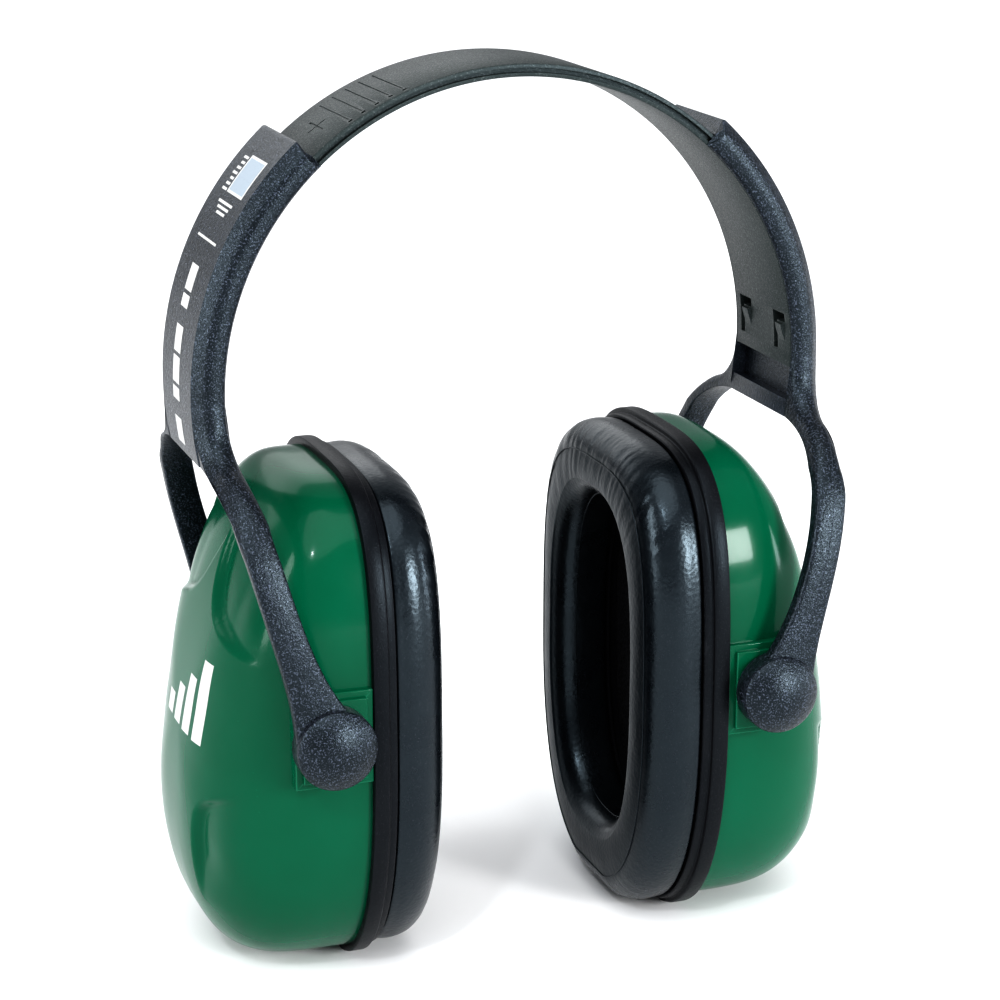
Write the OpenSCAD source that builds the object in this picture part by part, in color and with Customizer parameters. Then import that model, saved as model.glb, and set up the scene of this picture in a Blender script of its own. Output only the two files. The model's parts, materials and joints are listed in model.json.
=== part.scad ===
// Over-the-head earmuff hearing protector, standing on its two cups.
// +X runs from ear to ear, +Y from front to back and +Z is up. The origin is on the
// floor, midway between the cups. Left is the -X side and front is the -Y side.
// Sizes are in millimetres.

/* [Headband] */
// Outer radius of the band's arc
band_radius = 63; // [60:1:68]
// Width of the band, front to back
band_width = 27; // [24:1:30]
// Thickness of the band
band_thickness = 2.6; // [2.2:0.1:3]
// How far each end of the band reaches below the centre of its arc, in degrees
band_end_angle = 2.4; // [0:0.2:4]
// Number of height graduations engraved at each end
graduations = 5; // [3:1:7]

/* [Yokes] */
// Thickness of the sleeve's wall outside the band
sleeve_wall = 3.8; // [3:0.2:4.6]
// Top of the sleeve above the centre of the arc, in degrees
sleeve_top_angle = 47; // [40:1:52]
// Bottom of the sleeve's pocket below the centre of the arc, in degrees
pocket_bottom_angle = 9; // [8:0.5:10]
// Width of a fork arm, seen from the front
arm_width = 6.4; // [6:0.1:8]
// Thickness of a fork arm, front to back
arm_thickness = 3; // [2.6:0.1:3.6]
// Radius of the round boss at the end of each arm
boss_radius = 8.2; // [7.5:0.1:9]
// Thickness of the boss under its domed end, front to back
boss_thickness = 5; // [4:0.1:6]
// Radius of the pivot stud inside each boss
stud_radius = 3; // [2.5:0.1:3.5]

/* [Cups] */
// Height of a cup shell at its flange
cup_height = 103; // [100:1:108]
// Width of a cup shell at its flange, front to back
cup_width = 70; // [68:1:74]
// Greatest depth of a cup shell from its flange
shell_depth = 33; // [31:1:36]
// Thickness of a cup shell's wall
shell_wall = 2.6; // [2:0.1:3]
// Distance between the two pivot axes
pivot_spacing = 94; // [92:1:98]
// Distance between the flange planes of the two cups
flange_spacing = 76; // [74:1:78]

/* [Cushions] */
// Thickness of a cushion, from its back plate to its sealing face
cushion_thickness = 12.8; // [10:0.2:13.4]
// Height of the ear opening
opening_height = 70; // [64:1:74]
// Width of the ear opening
opening_width = 39; // [34:1:42]
// Thickness of the cushion's cover
skin_thickness = 0.8; // [0.6:0.1:1.2]
// How far the cushion's outer edge rolls back from its sealing face
cushion_roll = 6; // [4:0.5:7]

/* [Hidden] */

$fn = 96;
tiny = 0.01;
gap = 0.1;               // between pieces of one cup
slide_gap = 0.2;         // between the band and a sleeve

// Cup outline: a superellipse whose upper half is squarer than its lower half
upper_power = 3.5;
lower_power = 2.4;
foot_flat = 0.9;         // depth of the flat that a cup stands on
rim_overhang = 1.5;      // how far the base plate stands out around the shell
outline_steps = 72;
cup_mid_z = cup_height / 2 + rim_overhang;
opening_power = 2.6;
opening_rise = 1.5;        // centre of the ear opening above the centre of the cup

// Levels along +X for the right-hand cup, from the flange towards the ear
flange_x = flange_spacing / 2;
rim_x = flange_x - 3.4;
lip_x = rim_x - 1.8;
plate_x = rim_x - 1;
plate_back_x = rim_x + 2;
seal_x = plate_x - cushion_thickness;
cushion_back_x = lip_x - 0.3;
cushion_neck = -1.8;     // outline of the cushion's neck, inside the lip
roll_inset = 6.4;        // how much smaller the sealing face is than the cushion
roll_steps = 5;
foam_inset = 8;          // of both foams inside the shell's outline
pad_thickness = 2;

// Cup shell
side_power = 2.6;        // roundness of the shoulder between side and face
top_power = 5.6;
bottom_power = 4.6;
shell_lean = 18;         // how much shallower the shell is at its top
deepest_z = 31;          // height of the deepest part of the shell
lean_length = 70;
dome_steps = 12;

// Pivots
pivot_x = pivot_spacing / 2;
pivot_z = 57.4;
stud_play = 0.05;
block_half = 9.7;        // half the height of a pivot block
block_end_x = 55;        // outer end of a pivot block
block_face_y = cup_width / 2 + 1.8;
block_inner_y = 30.6;
block_step = 0.9;        // height of the raised field on a pivot block
block_border = 1.4;
boss_gap = 0.3;
boss_inner_y = block_face_y + boss_gap;
boss_outer_y = boss_inner_y + boss_thickness;
dome_height = 3;
dome_sphere = (pow(boss_radius, 2) + pow(dome_height, 2)) / (2 * dome_height);
stud_length = 4.6;
arm_outer_y = boss_outer_y - 1;
arm_inner_y = arm_outer_y - arm_thickness;

// Band and sleeve share one centre, so the sleeve turns about it as it slides
arc_z = 121.2;
band_inner = band_radius - band_thickness;
groove_width = 0.9;
groove_depth = 1;
mark_width = 0.5;
mark_depth = 0.25;
mark_spacing = 4;        // degrees between graduations
tongue_window = [5.6, 8.4];
tongue_gap = 2;
tongue_offset = 8.3;     // from the band's centre line
tongue_rise = 3;         // from the band's end to the window

sleeve_face = band_width / 2 + 0.2;
sleeve_side = band_width / 2 + 1.6;
sleeve_outer = band_radius + slide_gap + sleeve_wall;
sleeve_inner = band_inner + 0.1;
rib_width = 0.5;         // of the rib that runs in the groove in each edge of the band
rib_reach = 0.7;
web_thickness = 3;       // of the sleeve's closed lower end, in degrees
chamfer = 1.2;

// Fork, seen along X: an arch between two superellipses centred on the pivots
arch_power = 3.5;
arch_height_outer = arc_z - pivot_z - 10;    // below the floor of the sleeve's pocket
arch_height_inner = arc_z - pivot_z - 12.7;
arch_steps = 48;
// Fork, seen along Y: a strip along a curve from the sleeve to the pivot
strip_start = [sleeve_outer - arm_width / 2 - 1.2, arc_z - 7];
strip_bend = [strip_start[0] - 3.3, arc_z - 35];
strip_end = [pivot_x + 0.5, pivot_z];
strip_steps = 14;

function lobe(a, half_w, half_h, power) =
    1 / pow(pow(abs(cos(a)) / half_w, power) + pow(abs(sin(a)) / half_h, power), 1 / power);

// One point of a cup outline at angle a, standing out by grow from the shell's own
function outline_point(a, grow) =
    let (
        half_w = cup_width / 2 + grow,
        half_h = cup_height / 2 + grow,
        lower = sin(a) < 0,
        r = lobe(a, half_w, half_h + (lower ? foot_flat : 0), lower ? lower_power : upper_power)
    )
    [r * cos(a), max(r * sin(a), -half_h)];

function cup_outline(grow) =
    [for (i = [0 : outline_steps - 1]) outline_point(360 * i / outline_steps, grow)];

function opening_outline(grow) =
    [for (i = [0 : outline_steps - 1])
        let (
            a = 360 * i / outline_steps,
            r = lobe(a, opening_width / 2 + grow, opening_height / 2 + grow, opening_power)
        )
        [r * cos(a), r * sin(a) + opening_rise]];

function bezier(p0, p1, p2, t) = (1 - t) * (1 - t) * p0 + 2 * t * (1 - t) * p1 + t * t * p2;
function bezier_normal(p0, p1, p2, t) =
    let (d = (1 - t) * (p1 - p0) + t * (p2 - p1))
    [-d[1], d[0]] / norm(d);

// Draw a Y-Z outline and extrude it along X, from x0 to x1
module along_x(x0, x1) {
    translate([x0, 0, 0]) rotate([90, 0, 90]) linear_extrude(x1 - x0) children();
}

// Draw an X-Z outline and extrude it along Y, centred on Y = 0
module along_y(width) {
    translate([0, width / 2, 0]) rotate([90, 0, 0]) linear_extrude(width) children();
}

// A cup-shaped slab standing out by grow, at the cup's own height
module cup_slab(x0, x1, grow) {
    translate([0, 0, cup_mid_z]) along_x(x0, x1) polygon(cup_outline(grow));
}

module opening_slab(x0, x1, grow) {
    translate([0, 0, cup_mid_z]) along_x(x0, x1) polygon(opening_outline(grow));
}

// Parts are modelled on the +X side and mirrored for the other
module side(s) {
    mirror([s < 0 ? 1 : 0, 0, 0]) children();
}

// A solid of revolution about the band's centre, from angle a0 to a1 above the horizontal
module band_sweep(a0, a1) {
    translate([0, 0, arc_z]) rotate([90, 0, 0]) rotate([0, 0, a0])
        rotate_extrude(angle = a1 - a0) children();
}

// Place children on the band at an angle above the horizontal: local +X points
// outwards, local +Y runs along the band and local +Z points to the front
module on_band(a) {
    translate([0, 0, arc_z]) rotate([90, 0, 0]) rotate([0, 0, a]) translate([band_radius, 0, 0])
        children();
}

module tongue_slot() {
    w = tongue_window[0];
    h = tongue_window[1];
    depth = band_thickness * 3;
    translate([-depth / 2, 0, -w / 2]) cube([depth, h, tongue_gap]);
    translate([-depth / 2, h - tongue_gap, -w / 2]) cube([depth, tongue_gap, w]);
}

module headband() {
    half = band_width / 2;
    span = 180 + 2 * band_end_angle;
    color("dimgray")
    difference() {
        band_sweep(-band_end_angle, span - band_end_angle)
            translate([band_inner, -half]) square([band_thickness, band_width]);
        for (s = [-1, 1])
            band_sweep(-band_end_angle - 1, span - band_end_angle + 1)
                translate([band_inner + (band_thickness - groove_width) / 2,
                           s > 0 ? half - groove_depth : -half - 1])
                    square([groove_width, groove_depth + 1]);
        for (s = [-1, 1]) side(s) {
            for (i = [0 : graduations - 1])
                on_band(sleeve_top_angle + 3 + i * mark_spacing)
                    translate([-mark_depth, -mark_width / 2, -half + 2.5])
                        cube([1, mark_width, band_width - 5]);
            for (t = [-1, 1])
                on_band(-band_end_angle) translate([0, tongue_rise, t * tongue_offset])
                    tongue_slot();
        }
    }
}

// The channel that wraps the band's outer face and both of its edges
module sleeve() {
    face = sleeve_face;
    wide = sleeve_side;
    body = [
        [sleeve_outer, face], [sleeve_outer - 1.4, wide - 0.5], [sleeve_outer - 3, wide],
        [sleeve_inner + 0.8, wide], [sleeve_inner, wide - 0.6]
    ];
    outline = concat(body, [for (i = [len(body) - 1 : -1 : 0]) [body[i][0], -body[i][1]]]);
    channel = band_width / 2 + slide_gap;
    rib_r = band_radius - (band_thickness + rib_width) / 2;
    difference() {
        band_sweep(-pocket_bottom_angle - web_thickness, sleeve_top_angle) polygon(outline);
        band_sweep(-pocket_bottom_angle, sleeve_top_angle + 2)
            difference() {
                translate([sleeve_inner - 1, -channel])
                    square([band_radius + slide_gap - sleeve_inner + 1, 2 * channel]);
                for (t = [-1, 1])
                    translate([rib_r, t * channel - rib_reach - slide_gap])
                        square([rib_width, 2 * (rib_reach + slide_gap)]);
            }
        for (t = [-1, 1])
            on_band(sleeve_top_angle) translate([0, 0, t * sleeve_side]) rotate([45, 0, 0])
                cube([30, chamfer * 2, chamfer * 2], center = true);
    }
}

module arch_outline() {
    difference() {
        polygon([for (i = [0 : arch_steps])
            let (a = 180 * i / arch_steps,
                 r = lobe(a, arm_outer_y, arch_height_outer, arch_power))
            [r * cos(a), r * sin(a)]]);
        polygon(concat(
            [for (i = [0 : arch_steps])
                let (a = 180 * i / arch_steps,
                     r = lobe(a, arm_inner_y, arch_height_inner, arch_power))
                [r * cos(a), r * sin(a)]],
            [[-arm_inner_y, -1], [arm_inner_y, -1]]));
    }
}

// An edge of the strip, offset to one side (+1 or -1): it flares to the boss at its end
function strip_edge(t, s) =
    bezier(strip_start, strip_bend, strip_end, t)
    + s * (arm_width / 2 + (boss_radius - arm_width / 2) * pow(t, 7))
        * bezier_normal(strip_start, strip_bend, strip_end, t);

module strip_outline() {
    polygon(concat(
        [for (i = [0 : strip_steps]) strip_edge(i / strip_steps, 1)],
        [for (i = [strip_steps : -1 : 0]) strip_edge(i / strip_steps, -1)]));
}

module pivot_boss() {
    translate([pivot_x, boss_inner_y, pivot_z]) rotate([-90, 0, 0]) {
        cylinder(r = boss_radius, h = boss_thickness);
        intersection() {
            cylinder(r = boss_radius, h = boss_thickness + dome_height);
            translate([0, 0, boss_thickness + dome_height - dome_sphere]) sphere(r = dome_sphere);
        }
        translate([0, 0, -stud_length]) cylinder(r = stud_radius, h = stud_length + 1);
    }
}

module yoke() {
    color([0.12, 0.12, 0.14]) {
        sleeve();
        intersection() {
            translate([0, 0, pivot_z]) along_x(pivot_x - 10, sleeve_outer + 5) arch_outline();
            along_y(2 * boss_outer_y + 2) strip_outline();
        }
        pivot_boss();
        mirror([0, 1, 0]) pivot_boss();
    }
}

function shoulder_power(a) = side_power
    + (sin(a) > 0 ? (top_power - side_power) : (bottom_power - side_power)) * pow(sin(a), 4);

function shell_limit(z, depth) = depth - shell_lean * pow((z - deepest_z) / lean_length, 2);

// Points of one dome: rings from the flange inwards, then the apex
function dome_points(inset) = concat(
    [for (j = [0 : dome_steps - 1], i = [0 : outline_steps - 1])
        let (
            a = 360 * i / outline_steps,
            b = 90 * j / dome_steps,
            q = 2 / shoulder_power(a),
            p = outline_point(a, -inset) * pow(cos(b), q),
            z = p[1] + cup_mid_z
        )
        [flange_x + shell_limit(z, shell_depth - inset) * pow(sin(b), q), p[0], z]],
    [[flange_x + shell_limit(cup_mid_z, shell_depth - inset), 0, cup_mid_z]]);

function dome_faces(first) =
    let (n = outline_steps, apex = first + n * dome_steps)
    concat(
        [for (j = [0 : dome_steps - 2], i = [0 : n - 1], half = [0, 1])
            let (
                k = (i + 1) % n,
                a = first + j * n + i,
                b = first + j * n + k,
                c = first + (j + 1) * n + k,
                d = first + (j + 1) * n + i
            )
            half == 0 ? [a, c, b] : [a, d, c]],
        [for (i = [0 : n - 1])
            [apex, first + (dome_steps - 1) * n + (i + 1) % n, first + (dome_steps - 1) * n + i]]);

function flipped(faces) = [for (f = faces) [f[2], f[1], f[0]]];

module cup_shell() {
    outer = dome_points(0);
    inner = dome_points(shell_wall);
    n = outline_steps;
    m = len(outer);
    rim = [for (i = [0 : n - 1], half = [0, 1])
        let (k = (i + 1) % n)
        half == 0 ? [i, k, m + k] : [i, m + k, m + i]];
    color("darkgreen")
    difference() {
        polyhedron(concat(outer, inner), concat(dome_faces(0), flipped(dome_faces(m)), rim));
        for (t = [-1, 1])
            translate([flange_x - 1, t * (block_inner_y + 10) - 10, pivot_z - block_half - gap])
                cube([block_end_x + gap - flange_x + 1, 20, 2 * (block_half + gap)]);
    }
}

// Green bearing block let into the side of the shell, bored for the yoke's stud
module pivot_block(t) {
    base_y = block_face_y - block_step;
    color("green")
    mirror([0, t < 0 ? 1 : 0, 0])
    difference() {
        union() {
            translate([flange_x, block_inner_y, pivot_z - block_half])
                cube([block_end_x - flange_x, base_y - block_inner_y, 2 * block_half]);
            translate([flange_x + block_border, block_inner_y, pivot_z - block_half + block_border])
                cube([block_end_x - flange_x - 2 * block_border, block_face_y - block_inner_y,
                      2 * (block_half - block_border)]);
        }
        translate([pivot_x, block_inner_y - 1, pivot_z]) rotate([-90, 0, 0])
            cylinder(r = stud_radius + stud_play, h = block_face_y - block_inner_y + 2);
    }
}

// Black plate welded across the shell's open side, with a raised lip for the cushion
module base_plate() {
    color([0.1, 0.1, 0.1])
    difference() {
        union() {
            cup_slab(rim_x, flange_x - tiny, rim_overhang);
            cup_slab(lip_x, rim_x + 1, 0.4);
        }
        cup_slab(lip_x - 1, rim_x, -1.4);
        cup_slab(plate_back_x, flange_x + 1, -shell_wall);
        opening_slab(lip_x - 1, flange_x + 1, 3);
    }
}

// The cushion's own stiff back plate, snapped inside the lip
module cushion_plate() {
    color([0.16, 0.16, 0.16])
    difference() {
        cup_slab(plate_x, rim_x - gap, -1.7);
        opening_slab(plate_x - 1, rim_x + 1, 1.2);
    }
}

// The cushion's outer form, shrunk by inset: steps that follow its rolled edge, and a neck
module cushion_form(inset) {
    for (k = [0 : roll_steps - 1])
        cup_slab(seal_x + cushion_roll * (1 - cos(90 * k / roll_steps)) + inset,
                 cushion_back_x - inset,
                 -roll_inset * (1 - sin(90 * (k + 0.5) / roll_steps)) - inset);
    cup_slab(cushion_back_x - cushion_roll, plate_x - tiny, cushion_neck - inset);
}

// Vinyl cover, open at the back where it is welded to the cushion plate
module cushion_skin() {
    color([0.05, 0.05, 0.05])
    difference() {
        cushion_form(0);
        difference() {
            cushion_form(skin_thickness);
            opening_slab(seal_x, plate_x + 1, skin_thickness);
        }
        opening_slab(seal_x - 1, plate_x + 1, 0);
    }
}

module cushion_foam() {
    color("gold")
    difference() {
        cushion_form(skin_thickness + gap);
        opening_slab(seal_x - 1, plate_x + 1, skin_thickness + gap);
    }
}

// Sound-absorbing foam behind the ear, thinner towards the top as the shell is
module absorber_foam() {
    x0 = plate_back_x + pad_thickness + 2 * gap;
    color([0.2, 0.2, 0.22])
    intersection() {
        cup_slab(x0, flange_x + shell_depth, -foam_inset);
        along_y(cup_width) polygon([
            [x0, 0], [x0, cup_height],
            [flange_x + 9, cup_height], [flange_x + 9, cup_mid_z + 33],
            [flange_x + 14, cup_mid_z + 13], [flange_x + 18.5, cup_mid_z - 3],
            [flange_x + 20, 0]
        ]);
    }
}

// Thin foam sheet across the ear side of the absorber
module inner_pad() {
    color([0.08, 0.08, 0.08])
        cup_slab(plate_back_x + gap, plate_back_x + gap + pad_thickness, -foam_inset);
}

module left_yoke() { side(-1) yoke(); }
module right_yoke() { side(1) yoke(); }
module left_cup_shell() { side(-1) cup_shell(); }
module right_cup_shell() { side(1) cup_shell(); }
module left_front_pivot_block() { side(-1) pivot_block(-1); }
module left_rear_pivot_block() { side(-1) pivot_block(1); }
module right_front_pivot_block() { side(1) pivot_block(-1); }
module right_rear_pivot_block() { side(1) pivot_block(1); }
module left_base_plate() { side(-1) base_plate(); }
module right_base_plate() { side(1) base_plate(); }
module left_cushion_plate() { side(-1) cushion_plate(); }
module right_cushion_plate() { side(1) cushion_plate(); }
module left_cushion_foam() { side(-1) cushion_foam(); }
module right_cushion_foam() { side(1) cushion_foam(); }
module left_cushion_skin() { side(-1) cushion_skin(); }
module right_cushion_skin() { side(1) cushion_skin(); }
module left_absorber_foam() { side(-1) absorber_foam(); }
module right_absorber_foam() { side(1) absorber_foam(); }
module left_inner_pad() { side(-1) inner_pad(); }
module right_inner_pad() { side(1) inner_pad(); }

headband();
left_yoke();
right_yoke();
left_cup_shell();
right_cup_shell();
left_front_pivot_block();
left_rear_pivot_block();
right_front_pivot_block();
right_rear_pivot_block();
left_base_plate();
right_base_plate();
left_cushion_plate();
right_cushion_plate();
left_cushion_foam();
right_cushion_foam();
left_cushion_skin();
right_cushion_skin();
left_absorber_foam();
right_absorber_foam();
left_inner_pad();
right_inner_pad();
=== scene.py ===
import json
import math

import bmesh
import bpy
import numpy as np
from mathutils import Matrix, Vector
from mathutils.bvhtree import BVHTree


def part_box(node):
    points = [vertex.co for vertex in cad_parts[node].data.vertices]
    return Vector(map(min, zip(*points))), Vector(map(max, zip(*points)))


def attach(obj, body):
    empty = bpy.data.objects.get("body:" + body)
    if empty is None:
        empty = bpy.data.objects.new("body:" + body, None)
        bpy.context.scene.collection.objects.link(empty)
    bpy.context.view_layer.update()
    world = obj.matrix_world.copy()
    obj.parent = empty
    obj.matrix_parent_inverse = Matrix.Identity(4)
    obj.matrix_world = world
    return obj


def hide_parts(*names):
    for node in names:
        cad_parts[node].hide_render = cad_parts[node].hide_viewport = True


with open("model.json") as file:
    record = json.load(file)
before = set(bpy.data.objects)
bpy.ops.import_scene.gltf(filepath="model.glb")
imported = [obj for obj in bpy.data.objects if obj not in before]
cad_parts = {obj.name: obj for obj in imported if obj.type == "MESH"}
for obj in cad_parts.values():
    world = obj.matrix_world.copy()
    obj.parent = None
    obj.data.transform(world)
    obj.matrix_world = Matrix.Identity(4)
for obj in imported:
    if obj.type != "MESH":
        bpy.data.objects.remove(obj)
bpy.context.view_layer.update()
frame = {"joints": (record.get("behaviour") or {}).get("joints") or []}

MM = 0.001
SIDES = {"left": -1, "right": 1}

# ------------------------ sizes, in mm, from the frame


def box_mm(node):
    lo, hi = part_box(node)
    return lo / MM, hi / MM


def anchor_mm(joint):
    return Vector(next(j for j in frame["joints"] if j["name"] == joint)["pos_m"]) / MM


shell_lo, shell_hi = box_mm("right_cup_shell")
plate_lo, plate_hi = box_mm("right_base_plate")
block_lo, block_hi = box_mm("right_rear_pivot_block")
pad_lo, pad_hi = box_mm("right_inner_pad")
back_lo, back_hi = box_mm("right_cushion_plate")
skin_lo = box_mm("right_cushion_skin")[0]
yoke_hi = box_mm("right_yoke")[1]
band_hi = box_mm("headband")[1]

# The right cup, whose outside faces +X. The left one is its mirror image.
FLANGE_X = shell_lo.x             # where the shell meets the rim
HALF_W = shell_hi.y
HALF_H = (shell_hi.z - shell_lo.z) / 2
MID_Z = (shell_hi.z + shell_lo.z) / 2
SHELL_DEPTH = 33.0
SHELL_WALL = 2.6
LEAN, DEEPEST_Z, LEAN_LENGTH = 18.0, 31.0, 70.0    # the face falls back from its deepest z
LIP_X = plate_lo.x                # the rim's raised lip, and the face beside it
RIM_X = LIP_X + 1.8
PLATE_BACK_X = RIM_X + 2
RIM_GROW = plate_hi.y - HALF_W
SEAL_X = skin_lo.x                # the cushion's sealing face
OPEN_W, OPEN_H, OPEN_RISE = 19.5, 35.0, 1.5        # half sizes of the ear opening, and its height

# The band and sleeves: radii and angles about the arc's centre, and half widths
PIVOT = anchor_mm("right_cup_tilt")
ARC_Z = anchor_mm("right_height_adjust").z
BAND_OUT = band_hi.z - ARC_Z
BAND_IN = BAND_OUT - 2.6
BAND_HALF = band_hi.y
BAND_END = 2.4
SLEEVE_OUT = BAND_OUT + 4.0
SLEEVE_IN = BAND_IN + 0.1
SLEEVE_TOP, POCKET_END, WEB_END = 48.2, -9.0, -11.0
CHANNEL = BAND_HALF + 0.2

# The fork: distances from the middle along Y, and heights above the pivots
DOME_TOP = yoke_hi.y
BOSS_R = 8.05
BOSS_IN = block_hi.y + 0.3
BOSS_OUT = BOSS_IN + 5.0
ARM_OUT = BOSS_OUT - 1.0
ARM_IN = ARM_OUT - 3.0
ARM_HALF = 3.2
ARCH_TOP = ARC_Z - PIVOT.z - 10.0
ARCH_UNDER = ARC_Z - PIVOT.z - 12.7
ARCH_POWER = 3.5

# ------------------------ meshes


def smoothstep(x):
    x = np.clip(x, 0, 1)
    return x * x * (3 - 2 * x)


def lobe(c, s, half_w, half_h, power):
    """Radius of a superellipse in the direction of cosine c and sine s."""
    return (np.abs(c / half_w) ** power + np.abs(s / half_h) ** power) ** (-1 / power)


def link(name, mesh):
    obj = bpy.data.objects.new(name, mesh)
    bpy.context.scene.collection.objects.link(obj)
    return obj


def shade(obj, angle=35):
    """Smooth faces, with edges sharper than angle left crisp."""
    obj.data.shade_smooth()
    obj.data.set_sharp_from_angle(angle=math.radians(angle))
    return obj


def build(name, verts, faces, side=1, angle=35):
    """A mesh object from points in mm. Side -1 mirrors it to the left."""
    verts = np.asarray(verts, float) * [side * MM, MM, MM]
    mesh = bpy.data.meshes.new(name)
    mesh.from_pydata(verts.tolist(), [], [tuple(f) for f in faces])
    bm = bmesh.new()
    bm.from_mesh(mesh)
    bmesh.ops.recalc_face_normals(bm, faces=bm.faces)
    bm.to_mesh(mesh)
    bm.free()
    mesh.validate()
    return shade(link(name, mesh), angle)


def grid_faces(rows, cols, first=0, wrap_rows=False, wrap_cols=True):
    """Quads between rows of cols points, numbered row by row from first."""
    out = []
    for r in range(rows if wrap_rows else rows - 1):
        for c in range(cols if wrap_cols else cols - 1):
            d, e = (c + 1) % cols, (r + 1) % rows
            out.append((first + r * cols + c, first + r * cols + d,
                        first + e * cols + d, first + e * cols + c))
    return out


def apply_modifiers(obj):
    """Bakes the modifiers into the mesh."""
    graph = bpy.context.evaluated_depsgraph_get()
    mesh = bpy.data.meshes.new_from_object(obj.evaluated_get(graph), depsgraph=graph)
    mesh.name = obj.name
    obj.modifiers.clear()
    old = obj.data
    obj.data = mesh
    bpy.data.meshes.remove(old)
    return obj


def cut(obj, tool, how="DIFFERENCE"):
    """Cuts tool out of obj, or with UNION adds it, and removes tool."""
    mod = obj.modifiers.new("cut", "BOOLEAN")
    mod.operation, mod.solver, mod.object = how, "EXACT", tool
    mod.use_self = True
    apply_modifiers(obj)
    bpy.data.objects.remove(tool)
    return obj


def points_of(obj):
    """An object's points in mm."""
    co = np.empty(len(obj.data.vertices) * 3, np.float32)
    obj.data.vertices.foreach_get("co", co)
    return co.reshape(-1, 3).astype(float) / MM


def set_points(obj, pts):
    co = (np.asarray(pts) * MM).astype(np.float32)
    obj.data.vertices.foreach_set("co", co.ravel())
    obj.data.update()


def tube(path, radius, sides=8, closed=False):
    """A round bead of that radius, in mm, along a path of points."""
    path = np.asarray(path, float)
    n = len(path)
    before = np.roll(path, 1, 0) if closed else np.vstack([path[:1], path[:-1]])
    after = np.roll(path, -1, 0) if closed else np.vstack([path[1:], path[-1:]])
    verts = []
    ref = np.array([1.0, 0.2, 0.1])    # not parallel to any path in use
    for p, a, b in zip(path, before, after):
        t = (b - a) / np.linalg.norm(b - a)
        u = np.cross(t, ref)
        u /= np.linalg.norm(u)
        v = np.cross(t, u)
        for k in range(sides):
            w = 2 * math.pi * k / sides
            verts.append(p + radius * (math.cos(w) * u + math.sin(w) * v))
    faces = grid_faces(n, sides, wrap_rows=closed)
    if not closed:
        faces += [tuple(range(sides)), tuple(range((n - 1) * sides, n * sides))]
    return verts, faces


def finish_piece(obj, body, slot, material, *nodes):
    obj.data.materials.clear()
    obj.data.materials.append(material)
    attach(obj, body)
    if nodes:
        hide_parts(*nodes)
    return obj


# ------------------------ materials


class Tree:
    """A Principled material and short calls that add nodes to it."""

    def __init__(self, name, color, roughness, specular=0.5, **sockets):
        self.material = bpy.data.materials.new(name)
        self.material.use_nodes = True
        self.tree = self.material.node_tree
        self.shader = self.tree.nodes["Principled BSDF"]
        self.set(self.shader, {"Base Color": (*color, 1), "Roughness": roughness,
                               "Specular IOR Level": specular, **sockets})
        self.place = self.add("TexCoord").outputs["Object"]

    def set(self, node, values):
        for key, value in values.items():
            if isinstance(value, bpy.types.NodeSocket):
                self.tree.links.new(value, node.inputs[key])
            else:
                node.inputs[key].default_value = value

    def add(self, kind, values=None, **props):
        node = self.tree.nodes.new("ShaderNode" + kind)
        for key, value in props.items():
            setattr(node, key, value)
        self.set(node, values or {})
        return node

    def noise(self, scale, detail=2.0, rough=0.5):
        """Noise with its features at 1/scale metres."""
        return self.add("TexNoise", {"Vector": self.place, "Scale": scale, "Detail": detail,
                                     "Roughness": rough}).outputs["Fac"]

    def cells(self, scale, feature="F1", smooth=0.0):
        """Distance to the middle of the nearest cell, with cells about 1/scale metres wide."""
        node = self.add("TexVoronoi", feature=feature)
        values = {"Vector": self.place, "Scale": scale}
        if feature == "SMOOTH_F1":
            values["Smoothness"] = smooth
        self.set(node, values)
        return node.outputs["Distance"]

    def remap(self, value, a, b, c, d, smooth=False):
        """Value from the range a..b to c..d."""
        node = self.add("MapRange", {"Value": value, "From Min": a, "From Max": b,
                                     "To Min": c, "To Max": d},
                        interpolation_type="SMOOTHSTEP" if smooth else "LINEAR")
        return node.outputs["Result"]

    def math(self, how, a, b):
        node = self.add("Math", operation=how)
        self.set(node, {0: a, 1: b})
        return node.outputs["Value"]

    def mix(self, factor, a, b):
        node = self.add("MixRGB")
        self.set(node, {"Fac": factor, "Color1": a, "Color2": b})
        return node.outputs["Color"]

    def bump(self, height, strength, distance, below=None):
        """A normal from a height, with distance in mm, on top of the normal below."""
        values = {"Height": height, "Strength": strength, "Distance": distance * MM}
        if below is not None:
            values["Normal"] = below
        return self.add("Bump", values).outputs["Normal"]

    def edges(self, low, high):
        """1 on convex edges, 0 elsewhere: a property of the mesh, used to paint highlights along
        edges.
        """
        point = self.add("NewGeometry").outputs["Pointiness"]
        return self.remap(point, low, high, 0, 1, True)


COOL = (0.70, 0.88, 1.0, 1)    # tint of the gloss on the black parts


def grained_plastic(name, dark, light, painted_glint, rough, grain, grain_scale, glint_at, specular):
    """Moulded plastic with a spark-eroded grain. Grain is its strength, and the peaks above the
    glint threshold are painted the third colour: painted glints, where the grain catches the
    light."""
    t = Tree(name, dark, rough, specular)
    coarse = t.noise(grain_scale, 3, 0.6)
    fine = t.noise(grain_scale * 2.3, 2, 0.6)
    cloud = t.noise(45, 2)
    base = t.mix(t.remap(cloud, 0.35, 0.65, 0, 1), (*dark, 1), (*light, 1))
    # painted glints: the fine grain's peaks are painted the lighter third colour
    base = t.mix(t.remap(fine, glint_at, glint_at + 0.14, 0, 1, True), base, (*painted_glint, 1))
    # painted highlight: convex edges are painted part way to the third colour
    base = t.mix(t.math("MULTIPLY", t.edges(0.52, 0.6), 0.2), base, (*painted_glint, 1))
    normal = t.bump(coarse, grain, 0.16)
    normal = t.bump(fine, grain * 0.7, 0.07, normal)
    t.set(t.shader, {"Base Color": base, "Normal": normal, "Specular Tint": COOL,
                     "Roughness": t.remap(fine, 0.35, 0.7, rough + 0.08, rough - 0.08)})
    return t.material


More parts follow.
